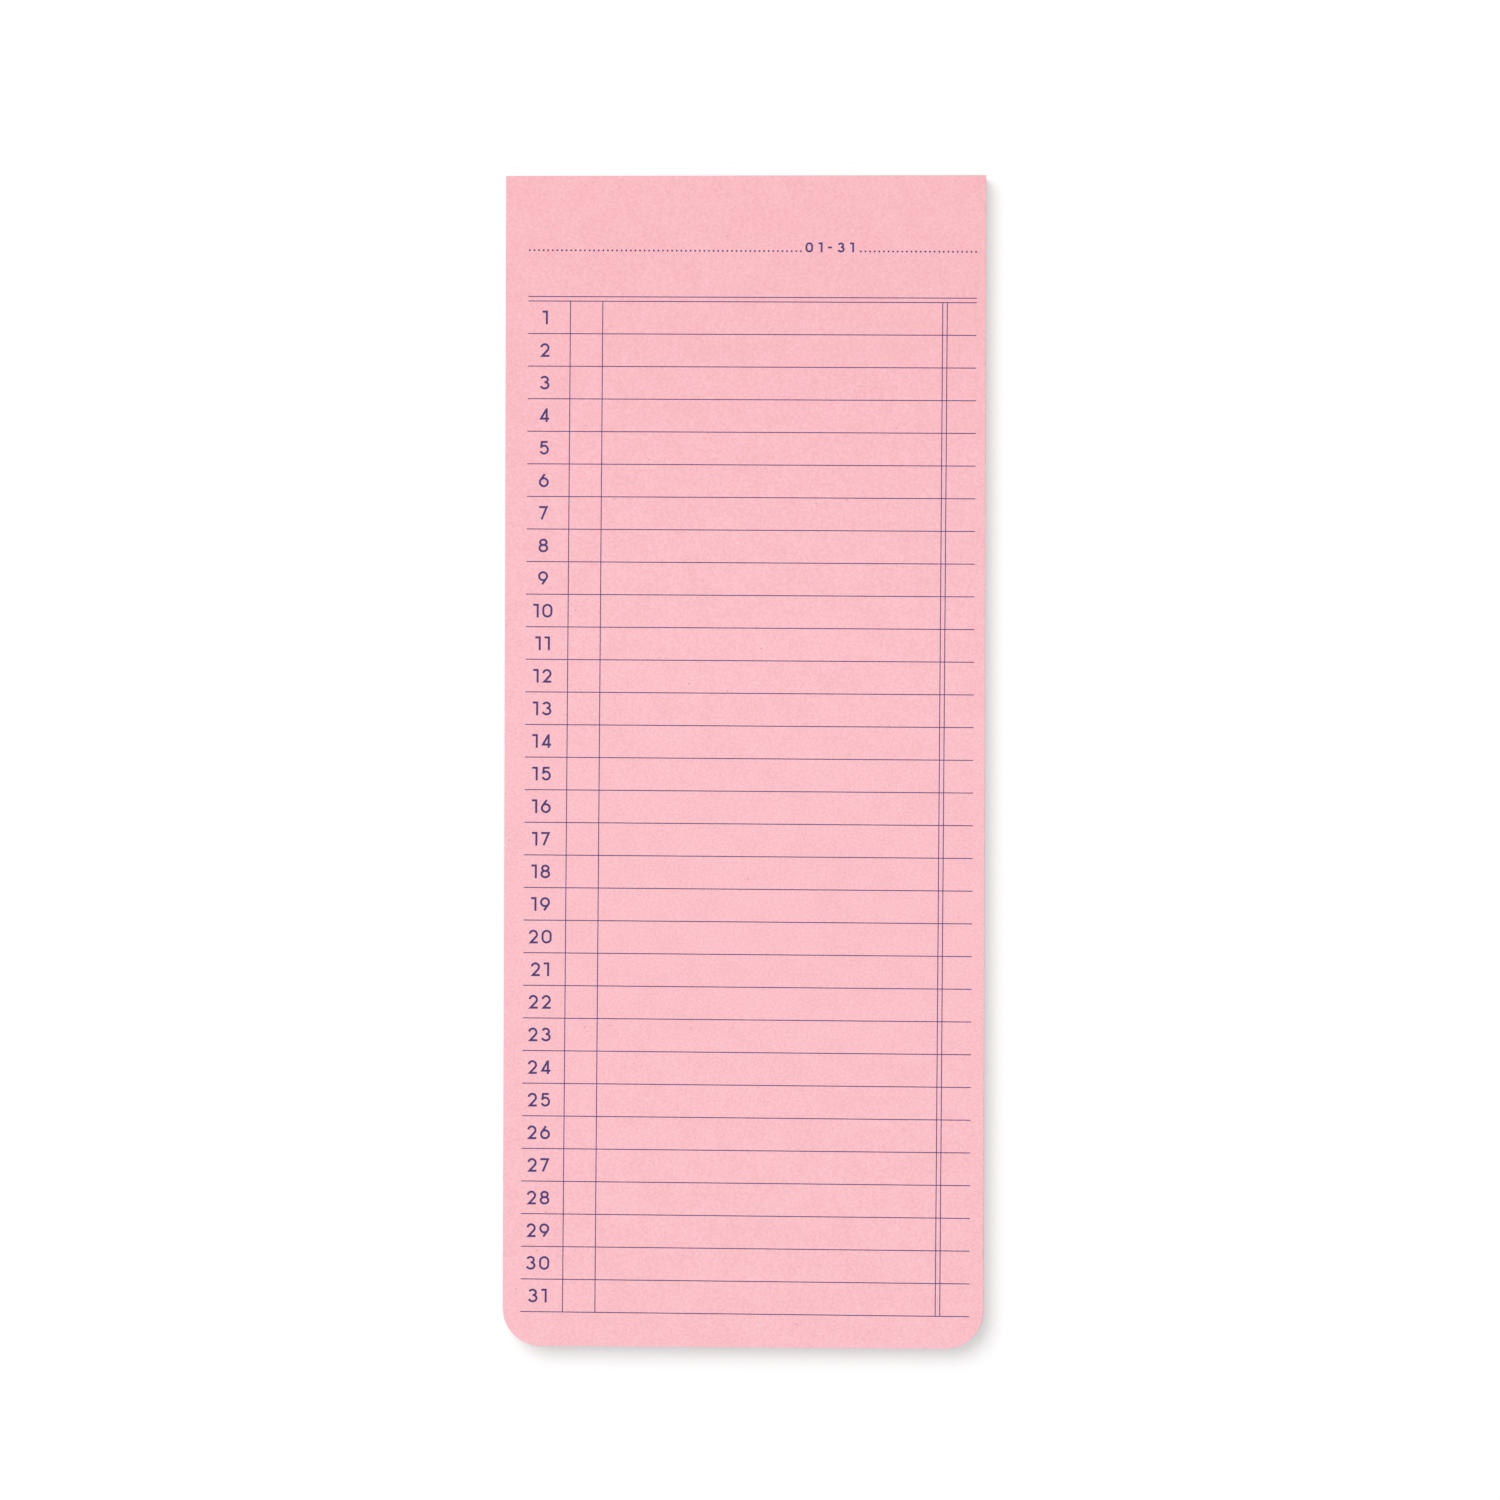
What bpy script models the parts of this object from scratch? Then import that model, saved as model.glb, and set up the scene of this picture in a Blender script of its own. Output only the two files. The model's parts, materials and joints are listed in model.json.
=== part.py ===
"""Sticky memo pad with one tall sheet for each month, lying flat with its heading towards +Y.

A stack of equal paper sheets stands on a backing card. Each sheet has a strip of removable adhesive
on its back, along the upper edge, which holds it to the layer below and lets it peel off. Below the
strip the paper is loose, so the top sheet is made in two ends that meet at the crease where it folds
up. The origin is under the middle of the pad, on the surface that it lies on.
"""

import math

import bmesh
import bpy
from mathutils import Matrix

MM = 0.001

# Sheets of paper
SHEET_COUNT = 24
SHEET_WIDTH = 80.0 * MM
SHEET_LENGTH = 195.0 * MM
SHEET_THICKNESS = 0.10 * MM
LOWER_CORNER_RADIUS = 6.3 * MM
LOWER_CORNER_STEPS = 12

# Adhesive strip on the back of each sheet
STRIP_DEPTH = 18.0 * MM
STRIP_THICKNESS = 0.02 * MM
STRIP_MARGIN = 0.5 * MM

# Backing card, cut to the outline of the sheets
CARD_THICKNESS = 0.50 * MM

# Clearances between pieces that touch on the real pad
LAYER_CLEARANCE = 0.005 * MM
CREASE_CLEARANCE = 0.30 * MM

# Places that follow from the sizes above, measured from the middle of a sheet
UPPER_EDGE = SHEET_LENGTH / 2
LOWER_EDGE = -SHEET_LENGTH / 2
STRIP_UPPER_EDGE = UPPER_EDGE - STRIP_MARGIN
STRIP_LOWER_EDGE = STRIP_UPPER_EDGE - STRIP_DEPTH
CREASE = STRIP_LOWER_EDGE - CREASE_CLEARANCE / 2
LAYER_PITCH = SHEET_THICKNESS + STRIP_THICKNESS + 2 * LAYER_CLEARANCE

PINK_PAPER = (0.956, 0.515, 0.565, 1.0)
MILKY_ADHESIVE = (0.860, 0.800, 0.760, 1.0)
GREY_BOARD = (0.620, 0.590, 0.550, 1.0)


def clear_scene():
    for old in list(bpy.data.objects):
        bpy.data.objects.remove(old, do_unlink=True)


def principled(name, colour, roughness):
    material = bpy.data.materials.new(name)
    material.use_nodes = True
    shader = material.node_tree.nodes["Principled BSDF"]
    shader.inputs["Base Color"].default_value = colour
    shader.inputs["Roughness"].default_value = roughness
    shader.inputs["Metallic"].default_value = 0.0
    material.diffuse_color = colour
    return material


def corner_arc(centre_x, centre_y, start_angle):
    """Points of a quarter circle, turning counterclockwise from the start angle."""
    points = []
    for step in range(LOWER_CORNER_STEPS + 1):
        angle = start_angle + math.pi / 2 * step / LOWER_CORNER_STEPS
        x = centre_x + LOWER_CORNER_RADIUS * math.cos(angle)
        y = centre_y + LOWER_CORNER_RADIUS * math.sin(angle)
        points.append((x, y))
    return points


def sheet_outline(name, upper_edge, lower_edge, thickness, material):
    """Flat curve as wide as a sheet, square at its upper edge and with round corners at its lower edge."""
    side = SHEET_WIDTH / 2
    arc_x = side - LOWER_CORNER_RADIUS
    arc_y = lower_edge + LOWER_CORNER_RADIUS
    points = [(side, upper_edge), (-side, upper_edge)]
    points += corner_arc(-arc_x, arc_y, math.pi)
    points += corner_arc(arc_x, arc_y, 1.5 * math.pi)
    curve = bpy.data.curves.new(name, "CURVE")
    curve.dimensions = "2D"
    curve.fill_mode = "BOTH"
    curve.extrude = thickness / 2
    spline = curve.splines.new("POLY")
    spline.points.add(len(points) - 1)
    for point, (x, y) in zip(spline.points, points):
        point.co = (x, y, 0.0, 1.0)
    spline.use_cyclic_u = True
    curve.materials.append(material)
    return curve


def flat_box(name, width, length, thickness, material):
    """Mesh of a flat box with its middle at the mesh's own origin."""
    mesh = bpy.data.meshes.new(name)
    shape = bmesh.new()
    bmesh.ops.create_cube(shape, size=1.0, matrix=Matrix.Diagonal((width, length, thickness, 1.0)))
    shape.to_mesh(mesh)
    shape.free()
    mesh.materials.append(material)
    return mesh


def place(name, data, location, parent, collection):
    """New object at a location that is measured from its parent, or an empty where there is no data."""
    placed = bpy.data.objects.new(name, data)
    collection.objects.link(placed)
    placed.parent = parent
    placed.location = location
    return placed


def add_backing_card(collection, material):
    outline = sheet_outline("card_outline", UPPER_EDGE, LOWER_EDGE, CARD_THICKNESS, material)
    return place("backing_card", outline, (0.0, 0.0, CARD_THICKNESS / 2), None, collection)


def add_adhesive_strip(number, mesh, sheet, sheet_middle, collection):
    """Strip on the back of a sheet, whose own middle lies at sheet_middle along its length."""
    strip_middle = (STRIP_UPPER_EDGE + STRIP_LOWER_EDGE) / 2
    drop = SHEET_THICKNESS / 2 + LAYER_CLEARANCE + STRIP_THICKNESS / 2
    location = (0.0, strip_middle - sheet_middle, -drop)
    return place(f"adhesive_strip_{number:02d}", mesh, location, sheet, collection)


def add_top_sheet(below, rise, paper, collection):
    """Top sheet as the end that the adhesive holds, and the loose end that turns about the crease."""
    bound_lower_edge = CREASE + CREASE_CLEARANCE / 2
    bound_length = UPPER_EDGE - bound_lower_edge
    bound_middle = (UPPER_EDGE + bound_lower_edge) / 2
    bound_mesh = flat_box("bound_end", SHEET_WIDTH, bound_length, SHEET_THICKNESS, paper)
    bound = place("sheet_01_bound_end", bound_mesh, (0.0, bound_middle, rise), below, collection)
    crease_location = (0.0, CREASE - bound_middle, SHEET_THICKNESS / 2)
    crease_axis = place("sheet_01_crease", None, crease_location, bound, collection)
    crease_axis.empty_display_size = SHEET_WIDTH / 2
    free_outline = sheet_outline(
        "free_end_outline", -CREASE_CLEARANCE / 2, LOWER_EDGE - CREASE, SHEET_THICKNESS, paper
    )
    place("sheet_01_free_end", free_outline, (0.0, 0.0, -SHEET_THICKNESS / 2), crease_axis, collection)
    return bound, bound_middle


def build_pad():
    clear_scene()
    collection = bpy.data.collections.new("Sticky memo pad")
    bpy.context.scene.collection.children.link(collection)
    paper = principled("Pink paper", PINK_PAPER, 0.85)
    adhesive = principled("Removable adhesive", MILKY_ADHESIVE, 0.35)
    board = principled("Grey board", GREY_BOARD, 0.90)

    outline = sheet_outline("sheet_outline", UPPER_EDGE, LOWER_EDGE, SHEET_THICKNESS, paper)
    strip_width = SHEET_WIDTH - 2 * STRIP_MARGIN
    strip = flat_box("adhesive_strip", strip_width, STRIP_DEPTH, STRIP_THICKNESS, adhesive)

    # Each layer stands on the one below it, from the card up to the second sheet
    below = add_backing_card(collection, board)
    rise = CARD_THICKNESS / 2 + LAYER_PITCH - SHEET_THICKNESS / 2
    for number in range(SHEET_COUNT, 1, -1):
        sheet = place(f"sheet_{number:02d}", outline, (0.0, 0.0, rise), below, collection)
        add_adhesive_strip(number, strip, sheet, 0.0, collection)
        below = sheet
        rise = LAYER_PITCH

    bound, bound_middle = add_top_sheet(below, rise, paper, collection)
    add_adhesive_strip(1, strip, bound, bound_middle, collection)


build_pad()
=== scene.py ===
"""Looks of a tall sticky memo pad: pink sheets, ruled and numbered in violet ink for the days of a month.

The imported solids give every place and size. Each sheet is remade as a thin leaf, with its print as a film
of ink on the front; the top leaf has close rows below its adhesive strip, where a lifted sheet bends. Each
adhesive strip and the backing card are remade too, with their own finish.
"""

import json
import math
import random

import bpy
from mathutils import Matrix, Vector
from mathutils.geometry import delaunay_2d_cdt


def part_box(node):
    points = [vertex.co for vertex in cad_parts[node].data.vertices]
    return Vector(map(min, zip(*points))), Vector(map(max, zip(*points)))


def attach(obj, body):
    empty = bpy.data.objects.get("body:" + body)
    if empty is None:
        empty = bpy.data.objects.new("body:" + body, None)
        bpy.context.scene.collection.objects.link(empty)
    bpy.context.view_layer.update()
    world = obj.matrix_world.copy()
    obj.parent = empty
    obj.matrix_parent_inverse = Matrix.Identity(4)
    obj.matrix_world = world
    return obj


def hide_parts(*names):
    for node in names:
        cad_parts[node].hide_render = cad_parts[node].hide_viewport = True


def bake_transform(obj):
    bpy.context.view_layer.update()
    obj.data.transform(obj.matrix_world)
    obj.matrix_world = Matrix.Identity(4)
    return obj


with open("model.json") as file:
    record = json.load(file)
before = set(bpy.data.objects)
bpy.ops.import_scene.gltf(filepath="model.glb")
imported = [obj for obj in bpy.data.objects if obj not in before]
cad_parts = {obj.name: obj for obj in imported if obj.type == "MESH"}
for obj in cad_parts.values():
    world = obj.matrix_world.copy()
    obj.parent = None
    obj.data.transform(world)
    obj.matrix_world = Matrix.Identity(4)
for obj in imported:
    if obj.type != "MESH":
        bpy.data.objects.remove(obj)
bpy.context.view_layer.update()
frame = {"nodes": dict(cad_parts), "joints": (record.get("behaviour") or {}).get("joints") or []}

MM = 0.001

# Ruling in millimetres: drops from the sheet's upper edge, columns from the ruling's left end
RULING_WIDTH = 74.7
RULING_OFFSET = 0.77
RULING_TURN = math.radians(-0.287)
LINE_WIDTH = 0.15
DOUBLE_RULE_DROP = 20.30
DOUBLE_RULE_GAP = 0.75
ROW_COUNT = 31
ROW_PITCH = 5.433
NUMBER_COLUMN_END = 7.03
TICK_COLUMN_END = 12.43
WRITING_COLUMN_END = 69.07
LAST_COLUMN_START = 69.82

# Dotted heading line in millimetres, and the plain numbers that stand on it
DOTTED_DROP = 12.58
DOT_PITCH = 0.765
DOT_WIDTH = 0.33
DOT_SIDES = 10
HEADING_TEXT = "01-31"
HEADING_MIDDLE = 50.20
HEADING_HEIGHT = 1.60
HEADING_STROKE = 0.31
HEADING_GAP = 0.95
HEADING_MARGIN = 0.60

# Numerals of the rows in millimetres, drawn as strokes of one width
NUMERAL_HEIGHT = 2.29
NUMERAL_STROKE = 0.345
NUMERAL_GAP = 0.63
NUMERAL_MIDDLE = 2.80
NUMERAL_DROP = 0.03
TOP_LINE = NUMERAL_HEIGHT - NUMERAL_STROKE / 2
FOOT_LINE = NUMERAL_STROKE / 2
ARC_STEP = 12.0

# Film of ink on the paper
INK_RISE = 0.004 * MM
INK_ROOT = 0.003 * MM
JOIN_TOLERANCE = 1e-5

# Leaves of paper
COLUMNS = 8
ROW_STEP = 6.0 * MM
BEND_LENGTH = 8.0 * MM
BEND_STEP = 0.15 * MM
CORNER_STEPS = 14
SHARP_ANGLE = math.radians(40)
TOP_CURL = 0.45 * MM
CURL_SHARE = 0.6
CURLED_SHEETS = 6
SHEET_STRAY = 0.03 * MM
SHEET_TWIST = math.radians(0.01)
STRAY_SEED = 24
STACK_LEAN = Vector((-0.03, -0.25, 0.0)) * MM

# Adhesive film, whose lower edge wanders in three waves, each with a length and a phase
FILM_COLUMNS = 120
FILM_ROW_SHARES = (0.0, 0.5, 1.0)
FILM_RAGGED = 0.25 * MM
FILM_WAVES = ((3.1 * MM, 0.0), (1.3 * MM, 1.0), (7.7 * MM, 2.0))

# Colours as they look in even white light
WHITE = (1.0, 1.0, 1.0, 1.0)
PALE_PINK = (0.999, 0.565, 0.619, 1.0)
DEEP_PINK = (0.909, 0.465, 0.511, 1.0)
# Painted shade: multiplied into the paper towards its upper edge, which darkens it there as if less light
# fell on it
UPPER_EDGE_PAINTED_SHADE = (0.982, 0.933, 0.938, 1.0)
PALE_FIBRE = (0.990, 0.740, 0.770, 1.0)
DARK_SPECK = (0.420, 0.200, 0.240, 1.0)
CUT_EDGE = (0.960, 0.600, 0.630, 1.0)
VIOLET = (0.050, 0.032, 0.150, 1.0)
THIN_VIOLET = (0.104, 0.071, 0.238, 1.0)
MILKY = (0.900, 0.790, 0.760, 1.0)
MILKY_OVER_PINK = (0.940, 0.600, 0.630, 1.0)
MILKY_BEAD = (0.970, 0.930, 0.910, 1.0)
GREY_BOARD = (0.600, 0.570, 0.530, 1.0)
PALE_BOARD = (0.720, 0.690, 0.640, 1.0)
DARK_BOARD = (0.330, 0.310, 0.290, 1.0)

# Noise in the finishes: the spans that hold most of its values, and how far apart the pieces lie in it
NOISE_CORE = (0.30, 0.70)
NOISE_MOST = (0.25, 0.75)
NOISE_SPAN = (0.20, 0.80)
FULL_SHARE = (0.0, 1.0)
PIECE_SPREAD = (170.0, 310.0, 90.0)

# Finish of the paper, with waves and cells counted to a millimetre, as in the finishes below
CLOUD_WAVES = 0.22
CLOUD_TONES = (-0.12, 0.12)
GRAIN_WAVES = 2.6
GRAIN_TONES = (0.05, 0.95)
FIBRE_TURNS = (0.5, -0.9, 1.9)
FIBRE_LENGTHS = (1.8, 0.2, 1.0)
FIBRE_PEAKS = (0.76, 0.83)
FIBRE_SHARES = (0.0, 0.75)
SPECK_CELLS = 0.16
SPECK_CHANCE = 0.18
SPECK_SIZE = 0.030
SPECK_SHARE = 0.50
TOOTH_WAVES = 6.0
TOOTH_DEPTH = 0.006 * MM
PAPER_ROUGHNESS = (0.78, 0.92)
PAPER_SPECULAR = 0.25

# Finish of the paper's cut edge
TORN_WAVES = 5.0
TORN_TONES = (0.86, 1.03)
TORN_DEPTH = 0.010 * MM
SHEET_TONES = (0.84, 1.04)
CUT_EDGE_ROUGHNESS = (0.85, 0.95)
CUT_EDGE_SPECULAR = 0.20

# Finish of the ink
INK_GRAIN_WAVES = 4.0
INK_GRAIN_PEAKS = (0.45, 0.80)
INK_GRAIN_SHARES = (0.10, 1.0)
INK_GRAIN_DEPTH = 0.003 * MM
INK_PATCH_WAVES = 0.22
INK_PATCH_SHARES = (0.5, 1.0)
INK_ROUGHNESS = (0.55, 0.75)
INK_SPECULAR = 0.25

# Finish of the adhesive
BEAD_CELLS = 7.0
BEAD_SPAN = (0.1, 0.6)
BEAD_SHARES = (1.0, 0.0)
BEAD_PALENESS = 0.20
BEAD_DEPTH = 0.008 * MM
COAT_WAVES = 0.60
COAT_SHARES = (0.10, 0.50)
ADHESIVE_ROUGHNESS = (0.50, 0.28)
ADHESIVE_SPECULAR = 0.5

# Finish of the board, whose fibres lie at a few turns
BOARD_CLOUD_WAVES = 0.50
BOARD_CLOUD_SHARES = (0.15, 0.60)
BOARD_FIBRES = ((0.4, DARK_BOARD), (1.3, PALE_BOARD), (-0.7, DARK_BOARD), (2.3, PALE_BOARD))
BOARD_FIBRE_LENGTH = 1.3
BOARD_FIBRE_PEAKS = (0.62, 0.76)
BOARD_FIBRE_SHARES = (0.0, 0.6)
FACE_FIBRE_WIDTH = 0.20
EDGE_FIBRE_WIDTH = 0.14
PULP_WAVES = 4.0
PULP_TONES = (0.90, 1.08)
PULP_DEPTH = 0.012 * MM
BOARD_ROUGHNESS = (0.82, 0.96)
BOARD_SPECULAR = 0.2

# Stage and light
FLOOR_SIZE = 24.0
FLOOR_DROP = 0.02 * MM
FLOOR_WHITE = (0.850, 0.850, 0.850, 1.0)
FLOOR_AS_SEEN = (0.620, 0.620, 0.620, 1.0)
FLOOR_GLOWS = (0.40, 1.0)
FLOOR_GLOW_SPAN = (0.5, 1.5)
DOME_STRENGTH = 0.48
KEY_DIRECTION = Vector((-0.40, 0.50, 1.0))
KEY_DISTANCE = 6.0
KEY_SIZE = 4.6
KEY_POWER = 257.0

# Camera, fitted to the corners of the sheet in a square picture
CAMERA_PLACE = Vector((45.9, -2.9, 1000.0)) * MM
CAMERA_AIM = Vector((0.98, 1.83, 3.62)) * MM
CAMERA_ROLL = math.radians(0.153)
CAMERA_LENS = 143.83
CAMERA_SENSOR = 36.0
CAMERA_NEAR = 0.01
CAMERA_FAR = 100.0

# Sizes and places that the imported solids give
sheet_low, sheet_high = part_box("sheet_02")
card_low, card_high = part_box("backing_card")
film_low, film_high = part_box("adhesive_strip_02")
lift = next(joint for joint in frame["joints"] if joint["name"] == "sheet_01_lift")
UPPER_EDGE = sheet_high.y
LOWER_EDGE = sheet_low.y
HALF_WIDTH = sheet_high.x
SHEET_THICKNESS = sheet_high.z - sheet_low.z
CARD_THICKNESS = card_high.z - card_low.z
FILM_THICKNESS = film_high.z - film_low.z
CREASE = lift["pos_m"][1]
BEND_END = CREASE - BEND_LENGTH
SHEET_NUMBERS = sorted(int(name[-2:]) for name in frame["nodes"] if name.startswith("adhesive_strip_"))

# Round lower corners, which start where the straight lower edge ends: its points lie within EDGE_ROOM of it
EDGE_ROOM = 0.01 * MM
sheet_points = [vertex.co for vertex in frame["nodes"]["sheet_02"].data.vertices]
lower_edge_half = max(point.x for point in sheet_points if point.y < LOWER_EDGE + EDGE_ROOM)
CORNER_RADIUS = HALF_WIDTH - lower_edge_half
CORNER_START = LOWER_EDGE + CORNER_RADIUS


def evenly(start, end, step):
    """Places from start to end, both included, about a step apart."""
    count = max(1, round(abs(end - start) / step))
    return [start + (end - start) * place / count for place in range(count + 1)]


# Strokes of the print

def arc(centre, radii, start, end):
    """Points round an ellipse from one angle to another, in degrees."""
    points = []
    for angle in evenly(start, end, ARC_STEP):
        turn = math.radians(angle)
        points.append((centre[0] + radii[0] * math.cos(turn), centre[1] + radii[1] * math.sin(turn)))
    return points


def stroke(points, width):
    """Outline of an open line with square ends and mitred corners."""
    line = [Vector(point) for point in points]
    sides = [(after - before).normalized().orthogonal() for before, after in zip(line, line[1:])]
    left, right = [], []
    for place, point in enumerate(line):
        before = sides[max(place - 1, 0)]
        after = sides[min(place, len(sides) - 1)]
        reach = (before + after) / (1.0 + before.dot(after)) * width / 2
        left.append(point + reach)
        right.append(point - reach)
    return right + left[::-1]


def ring(points):
    """Closed line as two open ones that overlap at both ends."""
    half = len(points) // 2
    return [points[:half + 2], points[half:] + points[:2]]


# Plain numerals, each as its width and the middle lines of its strokes, at the height of the row numbers

def draw_zero():
    middle = 0.835
    radius = 0.68
    upper = arc((middle, TOP_LINE - radius), (radius, radius), 0, 180)
    lower = arc((middle, FOOT_LINE + radius), (radius, radius), 180, 360)
    return 2 * middle, ring(upper + lower[:-1])


def draw_one():
    width = 0.90
    stem = 0.745
    return width, [[(0.0, TOP_LINE), (stem, TOP_LINE), (stem, 0.0)]]


def draw_two():
    middle = 0.76
    radius = 0.605
    slope_foot = 0.34
    bowl = arc((middle, TOP_LINE - radius), (radius, radius), 172, -40)
    return 2 * middle, [bowl + [(slope_foot, FOOT_LINE), (2 * middle, FOOT_LINE)]]


def draw_three():
    upper_middle = 0.765
    upper_radii = (0.55, 0.46)
    lower_middle = 0.795
    lower_radii = (0.64, 0.53)
    upper = arc((upper_middle, TOP_LINE - upper_radii[1]), upper_radii, 160, -90)
    lower = arc((lower_middle, FOOT_LINE + lower_radii[1]), lower_radii, 90, -165)
    return 2 * lower_middle, [upper, lower]


def draw_four():
    width = 1.63
    stem = 1.20
    bar_height = 0.56
    slope_top = 1.15
    slope_foot = 0.25
    slope = [(slope_top, TOP_LINE), (slope_foot, bar_height), (width, bar_height)]
    return width, [slope, [(stem, NUMERAL_HEIGHT), (stem, 0.0)]]


def draw_five():
    middle = 0.785
    radii = (0.63, 0.66)
    flag_end = 1.36
    flag_start = 0.40
    neck = (0.29, 1.12)
    flag = [(flag_end, TOP_LINE), (flag_start, TOP_LINE), neck]
    bowl = arc((middle, FOOT_LINE + radii[1]), radii, 142, -158)
    return 2 * middle, [flag, bowl]


def draw_six():
    width = 1.63
    radius = 0.66
    tail_drop = 0.09
    touch = math.radians(145)
    middle = Vector((width / 2, FOOT_LINE + radius))
    tail_start = middle + radius * Vector((math.cos(touch), math.sin(touch)))
    tail_length = (NUMERAL_HEIGHT - tail_drop - tail_start.y) / -math.cos(touch)
    tail_end = tail_start + tail_length * Vector((math.sin(touch), -math.cos(touch)))
    bowl = arc(middle, (radius, radius), 0, 360)[:-1]
    return width, ring(bowl) + [[tail_start, tail_end]]


def draw_seven():
    width = 1.49
    corner = 1.263
    foot = (0.42, 0.06)
    return width, [[(0.0, TOP_LINE), (corner, TOP_LINE), foot]]


def draw_eight():
    middle = 0.795
    upper_radii = (0.53, 0.45)
    lower_radii = (0.64, 0.54)
    upper = arc((middle, TOP_LINE - upper_radii[1]), upper_radii, -90, 270)[:-1]
    lower = arc((middle, FOOT_LINE + lower_radii[1]), lower_radii, 90, 450)[:-1]
    return 2 * middle, ring(upper) + ring(lower)


def draw_nine():
    """A six turned half round."""
    width, lines = draw_six()
    return width, [[(width - x, NUMERAL_HEIGHT - y) for x, y in line] for line in lines]


def draw_dash():
    width = 0.95
    height = NUMERAL_HEIGHT / 2
    return width, [[(0.0, height), (width, height)]]


NUMERALS = {
    "0": draw_zero, "1": draw_one, "2": draw_two, "3": draw_three, "4": draw_four, "5": draw_five,
    "6": draw_six, "7": draw_seven, "8": draw_eight, "9": draw_nine, "-": draw_dash,
}


def number_outlines(text, middle, foot, height, stroke_width, gap):
    """Outlines of a number's strokes, centred on middle and standing on foot, and the number's width."""
    scale = height / NUMERAL_HEIGHT
    drawn = [NUMERALS[mark]() for mark in text]
    width = sum(mark_width * scale for mark_width, _ in drawn) + gap * (len(text) - 1)
    left = middle - width / 2
    outlines = []
    for mark_width, lines in drawn:
        for line in lines:
            outline = stroke(line, stroke_width / scale)
            outlines.append([(left + point[0] * scale, foot + point[1] * scale) for point in outline])
        left += mark_width * scale + gap
    return outlines, width


# Ruling, dotted line and numbers as one layout

def heading_outlines(left, upper):
    """Plain numbers on a dotted line that runs on both sides of them."""
    foot = upper - DOTTED_DROP
    middle = left + HEADING_MIDDLE
    radius = DOT_WIDTH / 2
    outlines, width = number_outlines(
        HEADING_TEXT, middle, foot - radius, HEADING_HEIGHT, HEADING_STROKE, HEADING_GAP
    )
    clear = width / 2 + HEADING_MARGIN
    turns = [math.tau * side / DOT_SIDES for side in range(DOT_SIDES)]
    for place in evenly(left + radius, left + RULING_WIDTH - radius, DOT_PITCH):
        if abs(place - middle) > clear:
            dot = [(place + radius * math.cos(turn), foot + radius * math.sin(turn)) for turn in turns]
            outlines.append(dot)
    return outlines


def ruling_outlines():
    """Every printed outline on a sheet, in millimetres from its middle and before the print's small turn."""
    left = RULING_OFFSET - RULING_WIDTH / 2
    upper = UPPER_EDGE / MM
    first_row = upper - DOUBLE_RULE_DROP - DOUBLE_RULE_GAP
    last_row = first_row - ROW_COUNT * ROW_PITCH
    outlines = heading_outlines(left, upper)
    heights = [first_row + DOUBLE_RULE_GAP]
    heights += [first_row - row * ROW_PITCH for row in range(ROW_COUNT + 1)]
    for height in heights:
        outlines.append(stroke([(left, height), (left + RULING_WIDTH, height)], LINE_WIDTH))
    for column in (NUMBER_COLUMN_END, TICK_COLUMN_END, WRITING_COLUMN_END, LAST_COLUMN_START):
        outlines.append(stroke([(left + column, first_row), (left + column, last_row)], LINE_WIDTH))
    for row in range(ROW_COUNT):
        middle = first_row - (row + 0.5) * ROW_PITCH - NUMERAL_DROP
        foot = middle - NUMERAL_HEIGHT / 2
        number, _ = number_outlines(
            str(row + 1), left + NUMERAL_MIDDLE, foot, NUMERAL_HEIGHT, NUMERAL_STROKE, NUMERAL_GAP
        )
        outlines += number
    return outlines


def print_layout():
    """Points and triangles of the print with its outlines joined, cut across where a lifted sheet bends."""
    turn = Matrix.Rotation(RULING_TURN, 2)
    points, loops, cuts = [], [], []
    for outline in ruling_outlines():
        loop = [turn @ Vector(point) for point in outline]
        area = sum(a.cross(b) for a, b in zip(loop, loop[1:] + loop[:1]))
        loops.append(list(range(len(points), len(points) + len(loop))))
        points += loop if area > 0 else loop[::-1]
    for place in evenly(CREASE, BEND_END, BEND_STEP):
        cuts.append((len(points), len(points) + 1))
        points += [Vector((-HALF_WIDTH / MM, place / MM)), Vector((HALF_WIDTH / MM, place / MM))]
    inside_outlines = 1
    joined = delaunay_2d_cdt(points, cuts, loops, inside_outlines, JOIN_TOLERANCE)
    places, _, faces, _, _, owners = joined
    return places, [face for face, owner in zip(faces, owners) if owner]


# Meshes

def finish_mesh(name, points, faces, materials):
    """Mesh with its materials, smooth but for its sharp edges."""
    mesh = bpy.data.meshes.new(name)
    mesh.from_pydata(points, [], faces)
    for material in materials:
        mesh.materials.append(material)
    mesh.validate()
    mesh.shade_smooth()
    mesh.set_sharp_from_angle(angle=SHARP_ANGLE)
    return mesh


def slab_mesh(name, rows, thickness, materials):
    """Closed slab under rows of points from the upper edge down, with its rim in the second material."""
    columns = len(rows[0])
    upper = [point for row in rows for point in row]
    count = len(upper)
    points = upper + [(x, y, z - thickness) for x, y, z in upper]
    faces = []
    for row in range(len(rows) - 1):
        for column in range(columns - 1):
            corner = row * columns + column
            faces.append((corner, corner + columns, corner + columns + 1, corner + 1))
    faces += [tuple(index + count for index in reversed(face)) for face in faces]
    flat_faces = len(faces)
    last = (len(rows) - 1) * columns
    rim = [row * columns for row in range(len(rows))]
    rim += [last + column for column in range(1, columns)]
    rim += [row * columns + columns - 1 for row in reversed(range(len(rows) - 1))]
    rim += list(reversed(range(1, columns - 1)))
    faces += [(a, a + count, b + count, b) for a, b in zip(rim, rim[1:] + rim[:1])]
    mesh = finish_mesh(name, points, faces, materials)
    for polygon in mesh.polygons:
        polygon.material_index = int(polygon.index >= flat_faces)
    return mesh


def half_width(place):
    """Half the width of a sheet at a place along it, less where the lower corners are round."""
    below = min(max(0.0, CORNER_START - place), CORNER_RADIUS)
    return HALF_WIDTH - CORNER_RADIUS + math.sqrt(CORNER_RADIUS**2 - below**2)


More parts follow.
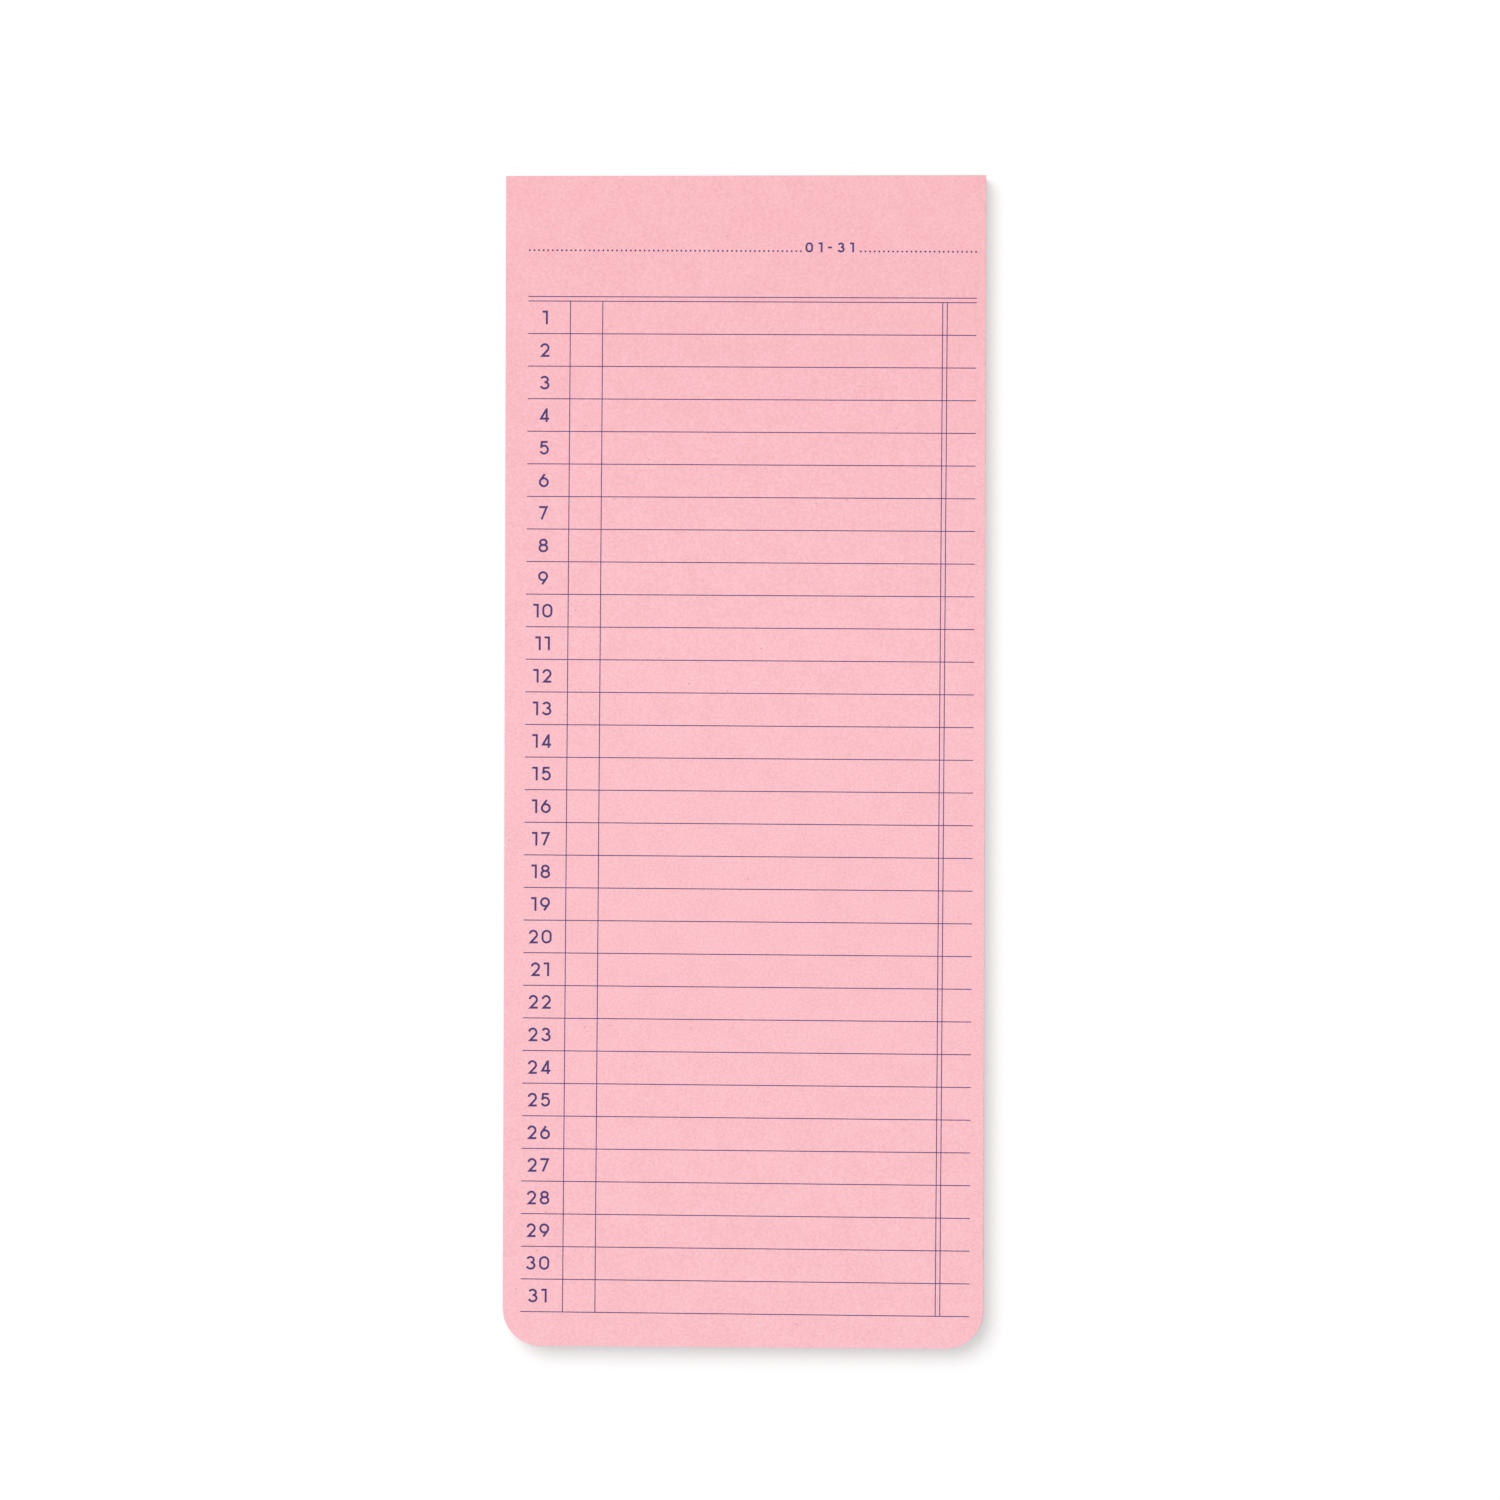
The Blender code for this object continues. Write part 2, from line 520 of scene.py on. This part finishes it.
def curl(place, end_rise):
    """Rise of a loose end at a place along the sheet, where its lower edge has risen by end_rise."""
    share = max(0.0, (CREASE - place) / (CREASE - LOWER_EDGE))
    return end_rise * share**2


def sheet_rows(end_rise, bend_step):
    """Rows of points on a sheet's upper face, from its upper edge down, closer where it bends."""
    places = evenly(UPPER_EDGE, CREASE, ROW_STEP)
    places += evenly(CREASE, BEND_END, bend_step)[1:]
    places += evenly(BEND_END, CORNER_START, ROW_STEP)[1:]
    for step in range(1, CORNER_STEPS + 1):
        places.append(CORNER_START - CORNER_RADIUS * math.sin(math.pi / 2 * step / CORNER_STEPS))
    rows = []
    for place in places:
        shares = evenly(-1.0, 1.0, 2.0 / COLUMNS)
        rows.append([(share * half_width(place), place, curl(place, end_rise)) for share in shares])
    return rows


def print_mesh(name, layout, end_rise, material):
    """Closed film of ink that lies on a sheet's upper face and follows its curl."""
    places, triangles = layout
    upper, lower = [], []
    for x, y in places:
        face = curl(y * MM, end_rise)
        upper.append((x * MM, y * MM, face + INK_RISE))
        lower.append((x * MM, y * MM, face - INK_ROOT))
    count = len(places)
    faces = [tuple(face) for face in triangles]
    edges = {(a, b) for face in faces for a, b in zip(face, face[1:] + face[:1])}
    faces += [tuple(index + count for index in reversed(face)) for face in faces]
    faces += [(a, a + count, b + count, b) for a, b in sorted(edges) if (b, a) not in edges]
    return finish_mesh(name, upper + lower, faces, [material])


def film_mesh(materials):
    """Adhesive film with a slightly ragged lower edge, where its coating stops."""
    most = len(FILM_WAVES)
    rows = []
    for share in FILM_ROW_SHARES:
        row = []
        for x in evenly(film_low.x, film_high.x, (film_high.x - film_low.x) / FILM_COLUMNS):
            wander = sum(math.sin(x / length + phase) for length, phase in FILM_WAVES)
            end = film_low.y + FILM_RAGGED * (wander + most) / (2 * most)
            row.append((x, film_high.y + share * (end - film_high.y), 0.0))
        rows.append(row)
    return slab_mesh("adhesive_film", rows, FILM_THICKNESS, materials)


# Nodes of the materials

def set_socket(tree, socket, value):
    """Links a socket to another node's output, or gives it a plain value."""
    if isinstance(value, bpy.types.NodeSocket):
        tree.links.new(value, socket)
    else:
        socket.default_value = value


def feed(tree, node, inputs):
    """Sets a node's inputs by name."""
    for name, value in inputs.items():
        set_socket(tree, node.inputs[name], value)


def noise(tree, place, waves, detail):
    """Even noise with a number of waves to a millimetre."""
    node = tree.nodes.new("ShaderNodeTexNoise")
    feed(tree, node, {"Vector": place, "Scale": waves, "Detail": detail})
    return node.outputs["Fac"]


def streaks(tree, place, lengths, turn, detail):
    """Noise whose waves have three lengths, in millimetres, and lie at a turn."""
    mapping = tree.nodes.new("ShaderNodeMapping")
    mapping.vector_type = "TEXTURE"
    feed(tree, mapping, {"Vector": place, "Rotation": (0.0, 0.0, turn), "Scale": lengths})
    return noise(tree, mapping.outputs["Vector"], waves=1.0, detail=detail)


def spread(tree, value, span, result):
    """A value in a span, carried over to another range and held at its ends."""
    node = tree.nodes.new("ShaderNodeMapRange")
    node.interpolation_type = "SMOOTHSTEP"
    feed(tree, node, {
        "Value": value,
        "From Min": span[0],
        "From Max": span[1],
        "To Min": result[0],
        "To Max": result[1],
    })
    return node.outputs["Result"]


def calculate(tree, operation, first, second):
    """Two values joined by a sum, a product or the like."""
    node = tree.nodes.new("ShaderNodeMath")
    node.operation = operation
    set_socket(tree, node.inputs[0], first)
    set_socket(tree, node.inputs[1], second)
    return node.outputs["Value"]


def mixed(tree, share, first, second, blend="MIX"):
    """Two colours mixed by a share."""
    node = tree.nodes.new("ShaderNodeMix")
    node.data_type = "RGBA"
    node.blend_type = blend
    sockets = {socket.identifier: socket for socket in node.inputs}
    set_socket(tree, sockets["Factor_Float"], share)
    set_socket(tree, sockets["A_Color"], first)
    set_socket(tree, sockets["B_Color"], second)
    return next(socket for socket in node.outputs if socket.identifier == "Result_Color")


def bump(tree, shader, height, depth):
    """Fine relief of a surface."""
    node = tree.nodes.new("ShaderNodeBump")
    feed(tree, node, {"Height": height, "Strength": 1.0, "Distance": depth})
    tree.links.new(node.outputs["Normal"], shader.inputs["Normal"])


def specks(tree, place, cells, chance, size):
    """Small round specks in some cells of a grid, with their size as a share of a cell."""
    node = tree.nodes.new("ShaderNodeTexVoronoi")
    node.voronoi_dimensions = "2D"
    feed(tree, node, {"Vector": place, "Scale": cells})
    chosen = calculate(tree, "LESS_THAN", node.outputs["Color"], chance)
    round_speck = spread(tree, node.outputs["Distance"], (size / 2, size), (1.0, 0.0))
    return calculate(tree, "MULTIPLY", chosen, round_speck)


def surface(name):
    """New material, its tree and shader, and a place in millimetres that differs from piece to piece."""
    material = bpy.data.materials.new(name)
    material.use_nodes = True
    tree = material.node_tree
    own = tree.nodes.new("ShaderNodeTexCoord")
    piece = tree.nodes.new("ShaderNodeObjectInfo")
    apart = tree.nodes.new("ShaderNodeVectorMath")
    apart.operation = "SCALE"
    apart.inputs[0].default_value = PIECE_SPREAD
    tree.links.new(piece.outputs["Random"], apart.inputs["Scale"])
    place = tree.nodes.new("ShaderNodeVectorMath")
    place.operation = "MULTIPLY_ADD"
    place.inputs[1].default_value = (1.0 / MM, 1.0 / MM, 1.0 / MM)
    tree.links.new(own.outputs["Object"], place.inputs[0])
    tree.links.new(apart.outputs["Vector"], place.inputs[2])
    return material, tree, tree.nodes["Principled BSDF"], place.outputs["Vector"]


# Materials

def paper_material():
    """Uncoated paper dyed through: cloudy formation, fine grain, pale fibres, a few dark specks, and painted
    shade towards its upper edge.
    """
    material, tree, shader, place = surface("Pink paper")
    cloud = spread(tree, noise(tree, place, CLOUD_WAVES, detail=3.0), NOISE_SPAN, CLOUD_TONES)
    grain = spread(tree, noise(tree, place, GRAIN_WAVES, detail=4.0), NOISE_MOST, GRAIN_TONES)
    colour = mixed(tree, calculate(tree, "ADD", cloud, grain), DEEP_PINK, PALE_PINK)
    # Painted shade: the paper grows a little darker towards its upper edge
    own_place = tree.nodes.new("ShaderNodeTexCoord").outputs["Object"]
    along = tree.nodes.new("ShaderNodeSeparateXYZ")
    tree.links.new(own_place, along.inputs["Vector"])
    painted_shade_share = spread(tree, along.outputs["Y"], (0.0, UPPER_EDGE), FULL_SHARE)
    colour = mixed(tree, painted_shade_share, colour, mixed(tree, 1.0, colour, UPPER_EDGE_PAINTED_SHADE, "MULTIPLY"))
    for turn in FIBRE_TURNS:
        strands = streaks(tree, place, FIBRE_LENGTHS, turn, detail=1.0)
        share = spread(tree, strands, FIBRE_PEAKS, FIBRE_SHARES)
        colour = mixed(tree, share, colour, PALE_FIBRE)
    dark = specks(tree, place, SPECK_CELLS, SPECK_CHANCE, SPECK_SIZE)
    colour = mixed(tree, calculate(tree, "MULTIPLY", dark, SPECK_SHARE), colour, DARK_SPECK)
    tooth = noise(tree, place, TOOTH_WAVES, detail=3.0)
    feed(tree, shader, {
        "Base Color": colour,
        "Roughness": spread(tree, tooth, NOISE_CORE, PAPER_ROUGHNESS),
        "Specular IOR Level": PAPER_SPECULAR,
    })
    bump(tree, shader, tooth, TOOTH_DEPTH)
    return material


def cut_edge_material():
    """Cut edge of the paper, rough from the blade, in a tone that differs a little from sheet to sheet."""
    material, tree, shader, place = surface("Cut paper edge")
    torn = noise(tree, place, TORN_WAVES, detail=4.0)
    piece = tree.nodes.new("ShaderNodeObjectInfo")
    sheet_tone = spread(tree, piece.outputs["Random"], FULL_SHARE, SHEET_TONES)
    tone = calculate(tree, "MULTIPLY", sheet_tone, spread(tree, torn, NOISE_MOST, TORN_TONES))
    feed(tree, shader, {
        "Base Color": mixed(tree, 1.0, CUT_EDGE, tone, "MULTIPLY"),
        "Roughness": spread(tree, torn, NOISE_CORE, CUT_EDGE_ROUGHNESS),
        "Specular IOR Level": CUT_EDGE_SPECULAR,
    })
    bump(tree, shader, torn, TORN_DEPTH)
    return material


def ink_material():
    """Violet offset ink that has sunk into the paper, a little thinner where the paper's grain stands up."""
    material, tree, shader, place = surface("Violet ink")
    grain = noise(tree, place, INK_GRAIN_WAVES, detail=3.0)
    patchy = noise(tree, place, INK_PATCH_WAVES, detail=2.0)
    thin_grain = spread(tree, grain, INK_GRAIN_PEAKS, INK_GRAIN_SHARES)
    thin_patch = spread(tree, patchy, NOISE_CORE, INK_PATCH_SHARES)
    thin = calculate(tree, "MULTIPLY", thin_grain, thin_patch)
    feed(tree, shader, {
        "Base Color": mixed(tree, thin, VIOLET, THIN_VIOLET),
        "Roughness": spread(tree, grain, NOISE_CORE, INK_ROUGHNESS),
        "Specular IOR Level": INK_SPECULAR,
    })
    bump(tree, shader, grain, INK_GRAIN_DEPTH)
    return material


def adhesive_material():
    """Milky film of tiny tacky beads, thin enough for the pink of the paper to show through in places."""
    material, tree, shader, place = surface("Removable adhesive")
    beads = tree.nodes.new("ShaderNodeTexVoronoi")
    feed(tree, beads, {"Vector": place, "Scale": BEAD_CELLS})
    bead = spread(tree, beads.outputs["Distance"], BEAD_SPAN, BEAD_SHARES)
    coat = spread(tree, noise(tree, place, COAT_WAVES, detail=5.0), NOISE_MOST, COAT_SHARES)
    colour = mixed(tree, coat, MILKY_OVER_PINK, MILKY)
    feed(tree, shader, {
        "Base Color": mixed(tree, calculate(tree, "MULTIPLY", bead, BEAD_PALENESS), colour, MILKY_BEAD),
        "Roughness": spread(tree, bead, FULL_SHARE, ADHESIVE_ROUGHNESS),
        "Specular IOR Level": ADHESIVE_SPECULAR,
    })
    bump(tree, shader, bead, BEAD_DEPTH)
    return material


def board_material(name, fibre_width):
    """Solid grey board of recycled fibre, with pale and dark fibres all through it."""
    material, tree, shader, place = surface(name)
    cloud = spread(tree, noise(tree, place, BOARD_CLOUD_WAVES, detail=6.0), NOISE_MOST, BOARD_CLOUD_SHARES)
    colour = mixed(tree, cloud, GREY_BOARD, PALE_BOARD)
    lengths = (BOARD_FIBRE_LENGTH, fibre_width, fibre_width)
    for turn, fibre in BOARD_FIBRES:
        strands = streaks(tree, place, lengths, turn, detail=2.0)
        share = spread(tree, strands, BOARD_FIBRE_PEAKS, BOARD_FIBRE_SHARES)
        colour = mixed(tree, share, colour, fibre)
    pulp = noise(tree, place, PULP_WAVES, detail=4.0)
    feed(tree, shader, {
        "Base Color": mixed(tree, 1.0, colour, spread(tree, pulp, NOISE_MOST, PULP_TONES), "MULTIPLY"),
        "Roughness": spread(tree, pulp, NOISE_CORE, BOARD_ROUGHNESS),
        "Specular IOR Level": BOARD_SPECULAR,
    })
    bump(tree, shader, pulp, PULP_DEPTH)
    return material


# Pieces of the pad

def add_object(name, data):
    """New object in the scene."""
    added = bpy.data.objects.new(name, data)
    bpy.context.scene.collection.objects.link(added)
    return added


def place_piece(name, mesh, location, twist=0.0):
    """New piece of the pad, turned about the upright axis by its twist."""
    piece = add_object(name, mesh)
    piece.location = location
    piece.rotation_euler = (0.0, 0.0, twist)
    return piece


def add_top_sheet(layout, paper, ink):
    """Top sheet in one piece, with close rows below its adhesive strip, where the sheet bends when its loose
    end lifts.
    """
    rows = sheet_rows(TOP_CURL, BEND_STEP)
    location = (0.0, 0.0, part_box("sheet_01_free_end")[1].z)
    leaf = place_piece("sheet_01_paper", slab_mesh("top_leaf", rows, SHEET_THICKNESS, paper), location)
    film = place_piece("sheet_01_print", print_mesh("top_print", layout, TOP_CURL, ink), location)
    for piece in (leaf, film):
        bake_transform(piece)
    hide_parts("sheet_01_bound_end", "sheet_01_free_end")


def add_lower_sheets(layout, paper, ink):
    """The sheets below the top one, whose loose ends curl less and less from sheet to sheet."""
    dice = random.Random(STRAY_SEED)
    meshes = {}
    for number in SHEET_NUMBERS[1:]:
        end_rise = TOP_CURL * CURL_SHARE**(number - 1) if number <= CURLED_SHEETS else 0.0
        if end_rise not in meshes:
            rows = sheet_rows(end_rise, ROW_STEP)
            leaf_mesh = slab_mesh("leaf", rows, SHEET_THICKNESS, paper)
            meshes[end_rise] = leaf_mesh, print_mesh("print", layout, end_rise, ink)
        stray_x = dice.uniform(-SHEET_STRAY, SHEET_STRAY)
        stray_y = dice.uniform(-SHEET_STRAY, SHEET_STRAY)
        twist = dice.uniform(-SHEET_TWIST, SHEET_TWIST)
        stray = Vector((stray_x, stray_y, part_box(f"sheet_{number:02d}")[1].z))
        location = stray + STACK_LEAN * number / SHEET_NUMBERS[-1]
        leaf = place_piece(f"sheet_{number:02d}_paper", meshes[end_rise][0], location, twist)
        film = place_piece(f"sheet_{number:02d}_print", meshes[end_rise][1], location, twist)
        for piece in (leaf, film):
            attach(piece, f"leaf_{number:02d}")
        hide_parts(f"sheet_{number:02d}")


def add_adhesive():
    """Film of removable adhesive on the back of each sheet."""
    material = adhesive_material()
    mesh = film_mesh([material, material])
    for number in SHEET_NUMBERS:
        node = f"adhesive_strip_{number:02d}"
        film = place_piece(f"sheet_{number:02d}_adhesive", mesh, (0.0, 0.0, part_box(node)[1].z))
        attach(film, f"leaf_{number:02d}")
        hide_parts(node)


def add_card():
    """Backing card under the last sheet, as far down the lean of the stack as that sheet."""
    faces = board_material("Grey board", FACE_FIBRE_WIDTH)
    edges = board_material("Cut board edge", EDGE_FIBRE_WIDTH)
    mesh = slab_mesh("card", sheet_rows(0.0, ROW_STEP), CARD_THICKNESS, [faces, edges])
    card = place_piece("backing_board", mesh, STACK_LEAN + Vector((0.0, 0.0, card_high.z)))
    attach(card, "backing")
    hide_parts("backing_card")


# Stage, light and camera

def seen_directly(tree):
    """One for what the camera sees, also through gloss or glass, and zero for light on the object."""
    path = tree.nodes.new("ShaderNodeLightPath")
    gloss = calculate(tree, "MAXIMUM", path.outputs["Is Glossy Ray"], path.outputs["Is Transmission Ray"])
    return calculate(tree, "MAXIMUM", path.outputs["Is Camera Ray"], gloss)


def floor_material():
    """White that keeps the pad's shadow, and looks white far away too, where the lamp reaches less.

    Its glow is only seen, so that none of it lights the pad.
    """
    material = bpy.data.materials.new("White floor")
    material.use_nodes = True
    tree = material.node_tree
    seen = seen_directly(tree)
    own_place = tree.nodes.new("ShaderNodeTexCoord").outputs["Object"]
    away = tree.nodes.new("ShaderNodeVectorMath")
    away.operation = "LENGTH"
    tree.links.new(own_place, away.inputs[0])
    glow = spread(tree, away.outputs["Value"], FLOOR_GLOW_SPAN, FLOOR_GLOWS)
    feed(tree, tree.nodes["Principled BSDF"], {
        "Base Color": mixed(tree, seen, FLOOR_WHITE, FLOOR_AS_SEEN),
        "Roughness": 1.0,
        "Specular IOR Level": 0.0,
        "Emission Color": WHITE,
        "Emission Strength": calculate(tree, "MULTIPLY", glow, seen),
    })
    return material


def add_floor():
    """Wide flat floor just under the pad."""
    half = FLOOR_SIZE / 2
    height = -FLOOR_DROP
    corners = [(-half, -half, height), (half, -half, height), (half, half, height), (-half, half, height)]
    mesh = bpy.data.meshes.new("floor")
    mesh.from_pydata(corners, [], [(0, 1, 2, 3)])
    mesh.materials.append(floor_material())
    add_object("floor", mesh)


def add_world():
    """Even white dome that lights the pad, and is plain white where the camera sees it."""
    world = bpy.data.worlds.new("Studio")
    world.use_nodes = True
    tree = world.node_tree
    extra = calculate(tree, "MULTIPLY", seen_directly(tree), 1.0 - DOME_STRENGTH)
    feed(tree, tree.nodes["Background"], {
        "Color": WHITE,
        "Strength": calculate(tree, "ADD", extra, DOME_STRENGTH),
    })
    bpy.context.scene.world = world


def add_key_light():
    """Soft round lamp high on the upper left, which throws the pad's shadow to the right and down."""
    lamp = bpy.data.lights.new("key", "AREA")
    lamp.shape = "DISK"
    lamp.size = KEY_SIZE
    lamp.energy = KEY_POWER
    key = add_object("key", lamp)
    key.location = KEY_DIRECTION.normalized() * KEY_DISTANCE
    key.rotation_euler = KEY_DIRECTION.to_track_quat("Z", "Y").to_euler()
    key.visible_camera = False


def add_camera():
    """Camera almost straight above the pad, with the heading towards the top of the picture."""
    back = (CAMERA_PLACE - CAMERA_AIM).normalized()
    right = Vector((0.0, 1.0, 0.0)).cross(back).normalized()
    up = back.cross(right)
    axes = Matrix((right, up, back)).transposed() @ Matrix.Rotation(CAMERA_ROLL, 3, "Z")
    lens = bpy.data.cameras.new("camera")
    lens.lens = CAMERA_LENS
    lens.sensor_width = CAMERA_SENSOR
    lens.clip_start = CAMERA_NEAR
    lens.clip_end = CAMERA_FAR
    camera = add_object("camera", lens)
    camera.matrix_world = Matrix.Translation(CAMERA_PLACE) @ axes.to_4x4()
    bpy.context.scene.camera = camera


def build():
    """The whole pad on its stage."""
    bpy.context.scene.view_settings.view_transform = "Standard"
    layout = print_layout()
    paper = [paper_material(), cut_edge_material()]
    ink = ink_material()
    add_top_sheet(layout, paper, ink)
    add_lower_sheets(layout, paper, ink)
    add_adhesive()
    add_card()
    add_floor()
    add_world()
    add_key_light()
    add_camera()


build()
